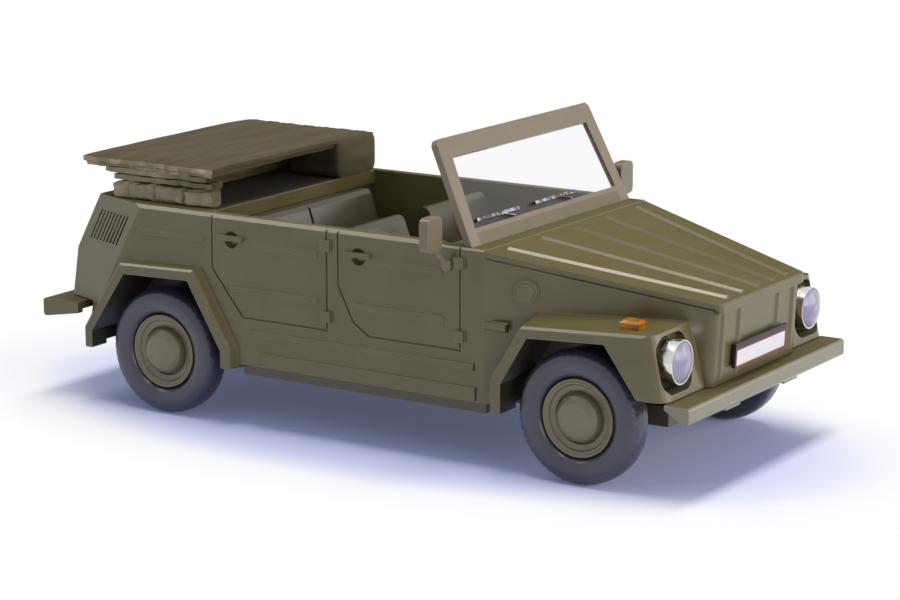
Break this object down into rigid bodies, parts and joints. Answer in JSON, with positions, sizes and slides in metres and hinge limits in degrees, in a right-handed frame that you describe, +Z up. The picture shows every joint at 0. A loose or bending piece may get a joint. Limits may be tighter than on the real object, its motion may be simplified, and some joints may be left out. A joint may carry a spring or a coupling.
{
  "type": "scale model of an open army car",
  "caption": "Small plastic scale model of an open army car, folded top behind the seats, ribbed bonnet and flared arches, that rolls on pressed wheelsets.",
  "frame": {"origin": "on the floor under the middle of the outline", "axes": "+X to the nose, +Y to the car's left, +Z up"},
  "size_m": [0.043, 0.022, 0.0176],
  "materials": {
    "axle_steel": "drawn wire",
    "black_plastic": "matt black",
    "chassis_plastic": "matt dark grey",
    "clear_lens": "clear moulded plastic",
    "clear_pane": "clear moulded plastic",
    "frame_plastic": "matt brown olive",
    "interior_plastic": "matt dark olive",
    "olive_plastic": "matt olive body colour, moulded through",
    "orange_plastic": "orange print",
    "red_plastic": "red print",
    "silver_print": "silver print",
    "top_plastic": "matt olive with a moulded cloth grain",
    "tyre": "dull blue black soft plastic",
    "wheel_plastic": "matt olive",
    "white_plate": "blank white with a thin red edge on black"
  },
  "bodies": {
    "car": {"body_shell": "olive_plastic", "cabin_tub": "interior_plastic", "chassis_plate": "chassis_plastic", "dashboard": "interior_plastic", "folded_top_bows": "top_plastic", "folded_top_canvas": "top_plastic", "front_bumper": "olive_plastic", "front_seat_left": "interior_plastic", "front_seat_right": "interior_plastic", "headlamp_lens_left": "clear_lens", "headlamp_lens_right": "clear_lens", "headlamp_reflector_left": "silver_print", "headlamp_reflector_right": "silver_print", "mirror_left": "olive_plastic", "mirror_right": "olive_plastic", "number_plate": "white_plate", "rear_bench": "interior_plastic", "rear_bumper": "olive_plastic", "steering_wheel": "black_plastic", "tail_lamp_left": "red_plastic", "tail_lamp_right": "red_plastic", "turn_lamp_left": "orange_plastic", "turn_lamp_right": "orange_plastic", "windscreen_frame": "frame_plastic", "windscreen_pane": "clear_pane", "wiper_left": "black_plastic", "wiper_right": "black_plastic"},
    "front_wheels": {"front_axle": "axle_steel", "tyre_front_left": "tyre", "rim_front_left": "wheel_plastic", "tyre_front_right": "tyre", "rim_front_right": "wheel_plastic"},
    "rear_wheels": {"rear_axle": "axle_steel", "tyre_rear_left": "tyre", "rim_rear_left": "wheel_plastic", "tyre_rear_right": "tyre", "rim_rear_right": "wheel_plastic"}
  },
  "joints": [
    {"name": "front_wheels_roll", "type": "hinge", "parent": "car", "child": "front_wheels", "pos_m": [0.01455, 0, 0.00367], "axis": [0, 1, 0], "continuous": true},
    {"name": "rear_wheels_roll", "type": "hinge", "parent": "car", "child": "rear_wheels", "pos_m": [-0.01305, 0, 0.00367], "axis": [0, 1, 0], "continuous": true}
  ]
}
